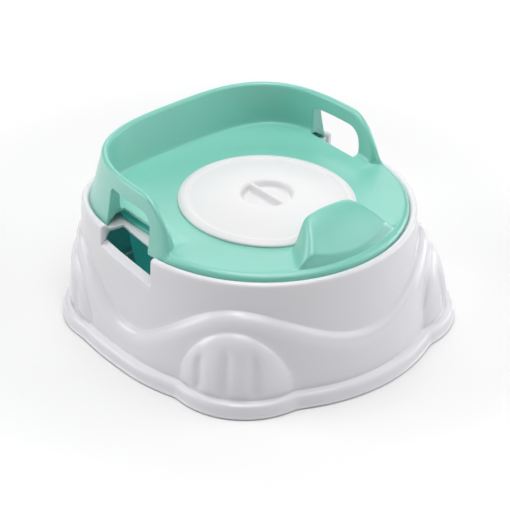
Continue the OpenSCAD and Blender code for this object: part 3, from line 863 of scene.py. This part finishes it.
# %% [markdown]
# ## Finishes
# The mouldings are satin polypropylene: smooth, with a very fine orange peel, a slightly uneven sheen where
# hands have been, and a hardly visible mottling of the colour. One node group makes these masks, and each
# material gives them its own strength. The base is the glossiest. The mint seat has a soft clear coat for
# its milky sheen. The bowl has a faint painted glow that stands in for the light inside the base, so that it
# isn't black inside the notches. The feet and pads are matt rubber with a coarser grain.

# %% The moulded surface, as a node group
def moulded_group():
    group = bpy.data.node_groups.new("moulded surface", "ShaderNodeTree")
    for socket, default in (("Grain Scale", 260.0), ("Smudge Scale", 28.0)):
        made = group.interface.new_socket(socket, in_out="INPUT", socket_type="NodeSocketFloat")
        made.default_value = default
    for socket in ("Mottle", "Smudge", "Grain"):
        group.interface.new_socket(socket, in_out="OUTPUT", socket_type="NodeSocketFloat")
    node, link = group.nodes.new, group.links.new
    given = node("NodeGroupInput")
    out = node("NodeGroupOutput")
    place = node("ShaderNodeTexCoord")
    mottle = node("ShaderNodeTexNoise")
    mottle.inputs["Scale"].default_value = 9
    mottle.inputs["Detail"].default_value = 3
    smudge = node("ShaderNodeTexNoise")
    smudge.inputs["Detail"].default_value = 5
    smudge.inputs["Roughness"].default_value = 0.6
    grain = node("ShaderNodeTexNoise")
    grain.inputs["Detail"].default_value = 2
    link(given.outputs["Smudge Scale"], smudge.inputs["Scale"])
    link(given.outputs["Grain Scale"], grain.inputs["Scale"])
    for texture, name in ((mottle, "Mottle"), (smudge, "Smudge"), (grain, "Grain")):
        link(place.outputs["Object"], texture.inputs["Vector"])
        link(texture.outputs["Fac"], out.inputs[name])
    return group


moulded = moulded_group()


def finish(name, pale, deep, rough, bump, grain=260.0, coat=0.0, glow=(0, 0, 0)):
    """A moulded finish between two close tones, with a roughness range, a grain depth in mm, a clear coat
    and a glow, which is painted light: an emission that stands in for light falling on the part."""
    material = bpy.data.materials.new(name)
    material.use_nodes = True
    nodes, link = material.node_tree.nodes, material.node_tree.links.new
    skin = nodes["Principled BSDF"]
    skin.inputs["IOR"].default_value = 1.49
    skin.inputs["Coat Weight"].default_value = coat
    skin.inputs["Coat Roughness"].default_value = 0.35
    # the glow is painted light: an emission that stands in for light falling on the part, not a lamp
    skin.inputs["Emission Color"].default_value = (*glow, 1)
    skin.inputs["Emission Strength"].default_value = 1
    surface = nodes.new("ShaderNodeGroup")
    surface.node_tree = moulded
    surface.inputs["Grain Scale"].default_value = grain
    tone = nodes.new("ShaderNodeMix")
    tone.data_type = "RGBA"
    tone.inputs["A"].default_value = (*deep, 1)
    tone.inputs["B"].default_value = (*pale, 1)
    link(surface.outputs["Mottle"], tone.inputs["Factor"])
    link(tone.outputs["Result"], skin.inputs["Base Color"])
    sheen = nodes.new("ShaderNodeMapRange")
    sheen.inputs["From Min"].default_value = 0.3
    sheen.inputs["From Max"].default_value = 0.7
    sheen.inputs["To Min"].default_value = rough[0]
    sheen.inputs["To Max"].default_value = rough[1]
    link(surface.outputs["Smudge"], sheen.inputs["Value"])
    link(sheen.outputs["Result"], skin.inputs["Roughness"])
    relief = nodes.new("ShaderNodeBump")
    relief.inputs["Distance"].default_value = bump * MM
    relief.inputs["Strength"].default_value = 0.5
    link(surface.outputs["Grain"], relief.inputs["Height"])
    link(relief.outputs["Normal"], skin.inputs["Normal"])
    return material


# %% The six finishes
white = finish("white base", (0.81, 0.805, 0.84), (0.795, 0.79, 0.825), (0.17, 0.21), 0.004)
lid_white = finish("white lid", (0.81, 0.80, 0.81), (0.795, 0.785, 0.795), (0.38, 0.44), 0.004)
mint = finish("mint seat", (0.215, 0.61, 0.505), (0.2, 0.595, 0.49), (0.36, 0.44), 0.006, coat=1.0)
# The bowl's glow is painted light: a faint teal emission that stands in for the light reaching it inside the
# base.
mint_bowl = finish("mint bowl", (0.17, 0.54, 0.44), (0.155, 0.52, 0.42), (0.3, 0.36), 0.004,
                   glow=(0.006, 0.09, 0.085))
foot_rubber = finish("foot rubber", (0.16, 0.165, 0.17), (0.12, 0.125, 0.13), (0.6, 0.75), 0.05, grain=600)
pad_rubber = finish("pad rubber", (0.22, 0.225, 0.23), (0.18, 0.185, 0.19), (0.6, 0.75), 0.05, grain=600)
for piece, material in [(base, white), (lid, lid_white), (seat, mint), (bowl, mint_bowl)]:
    piece.data.materials.clear()
    piece.data.materials.append(material)
for pieces, material in ((feet, foot_rubber), (pads, pad_rubber)):
    for piece in pieces:
        piece.data.materials.append(material)
print("finishes:", [m.name for m in (white, lid_white, mint, mint_bowl, foot_rubber, pad_rubber)])

# %% [markdown]
# ## Floor, light and camera
# The chair stands on a plain pale floor that runs out to white. The white is a glow in the floor's paint
# that grows with the distance from the chair. Only the camera and reflections see it, so it puts no more
# light on the chair, and the shadow stays.
# The light is a soft tent, as in a studio: wide lamps overhead and over the front make the level surfaces
# bright, lamps behind and beside the chair let the walls darken only towards the viewer, and one small lamp
# overhead gives the crests their crisp highlights.

# %% Floor
bpy.ops.object.select_all(action="DESELECT")
bpy.ops.mesh.primitive_plane_add(size=8)
floor = start_piece("floor")
floor_finish = bpy.data.materials.new("pale floor")
floor_finish.use_nodes = True
paint = floor_finish.node_tree.nodes["Principled BSDF"]
paint.inputs["Base Color"].default_value = (0.88, 0.88, 0.88, 1)
paint.inputs["Roughness"].default_value = 0.7
paint.inputs["Specular IOR Level"].default_value = 0.2
print("floor:", floor.name, "painted with", floor_finish.name)

# %% The floor runs out to white
fade_centre = (0.05, 0.1, 0)
near_glow, far_glow = (0.26, 0.85, 0.42), (0.85, 2.2, 0.58)
floor_nodes, floor_link = floor_finish.node_tree.nodes, floor_finish.node_tree.links.new
place = floor_nodes.new("ShaderNodeTexCoord")
far = floor_nodes.new("ShaderNodeVectorMath")
far.operation = "DISTANCE"
far.inputs[1].default_value = fade_centre
near_fade = floor_nodes.new("ShaderNodeMapRange")
far_fade = floor_nodes.new("ShaderNodeMapRange")
for fade, (start, end, glow) in ((near_fade, near_glow), (far_fade, far_glow)):
    fade.interpolation_type = "SMOOTHSTEP"
    fade.inputs["From Min"].default_value = start
    fade.inputs["From Max"].default_value = end
    fade.inputs["To Max"].default_value = glow
    floor_link(far.outputs["Value"], fade.inputs["Value"])
both_fades = floor_nodes.new("ShaderNodeMath")
floor_link(near_fade.outputs["Result"], both_fades.inputs[0])
floor_link(far_fade.outputs["Result"], both_fades.inputs[1])
ray = floor_nodes.new("ShaderNodeLightPath")
mirrored_ray = floor_nodes.new("ShaderNodeMath")
mirrored_ray.operation = "MAXIMUM"
seen_ray = floor_nodes.new("ShaderNodeMath")
seen_ray.operation = "MAXIMUM"
floor_link(place.outputs["Object"], far.inputs[0])
floor_link(both_fades.outputs["Value"], paint.inputs["Emission Color"])
floor_link(ray.outputs["Is Glossy Ray"], mirrored_ray.inputs[0])
floor_link(ray.outputs["Is Transmission Ray"], mirrored_ray.inputs[1])
floor_link(ray.outputs["Is Camera Ray"], seen_ray.inputs[0])
floor_link(mirrored_ray.outputs["Value"], seen_ray.inputs[1])
floor_link(seen_ray.outputs["Value"], paint.inputs["Emission Strength"])
floor.data.materials.append(floor_finish)
print("floor fades from", near_glow[0], "to", far_glow[1], "m")


# %% Lights
def soft_light(name, place, aim, size, power):
    bpy.ops.object.select_all(action="DESELECT")
    bpy.ops.object.light_add(type="AREA", location=place)
    lamp = bpy.context.object
    lamp.name = name
    lamp.data.shape = "RECTANGLE"
    lamp.data.size, lamp.data.size_y = size
    lamp.data.energy = power
    lamp.rotation_euler = (Vector(aim) - Vector(place)).to_track_quat("-Z", "Y").to_euler()
    return lamp


soft_light("overhead", (0, 0, 2.0), (0, 0, 0.1), (1.6, 1.6), 19.5)
soft_light("small overhead", (-0.1, 0.15, 1.9), (0, 0, 0.1), (0.3, 0.3), 3.5)
soft_light("left behind", (-1.6, 1.6, 1.0), (0, 0, 0.1), (1.4, 1.4), 21)
soft_light("right low", (2.0, -0.6, 0.35), (0, 0, 0.08), (1.4, 0.6), 11)
soft_light("over the front", (-0.5, -0.9, 2.0), (0, 0, 0.1), (1.4, 1.4), 13)
soft_light("behind", (1.25, 1.55, 1.15), (0, 0, 0.1), (1.8, 1.1), 9)
soft_light("right front", (1.5, -1.2, 1.3), (0, 0, 0.1), (1.4, 1.2), 10)
world = bpy.data.worlds.new("studio")
bpy.context.scene.world = world
world.use_nodes = True
world.node_tree.nodes["Background"].inputs["Color"].default_value = (1, 1, 1, 1)
world.node_tree.nodes["Background"].inputs["Strength"].default_value = 0.06
bpy.context.scene.view_settings.view_transform = "Standard"

# %% Camera
view_azimuth, view_elevation, view_distance = -39.921, 31.344, 2.575
target = Vector((-12.48, -5.0, 75.9)) * MM
level = cos(view_elevation)
back = Vector((sin(view_azimuth) * level, -cos(view_azimuth) * level, sin(view_elevation)))
bpy.ops.object.camera_add(location=target + back * view_distance)
camera = bpy.context.object
camera.rotation_euler = (-back).to_track_quat("-Z", "Y").to_euler()
camera.data.sensor_width = 36
camera.data.lens = 176.47
camera.data.clip_end = 50
bpy.context.scene.camera = camera
print("camera at", [round(v, 3) for v in camera.location], "lens", round(camera.data.lens, 1))
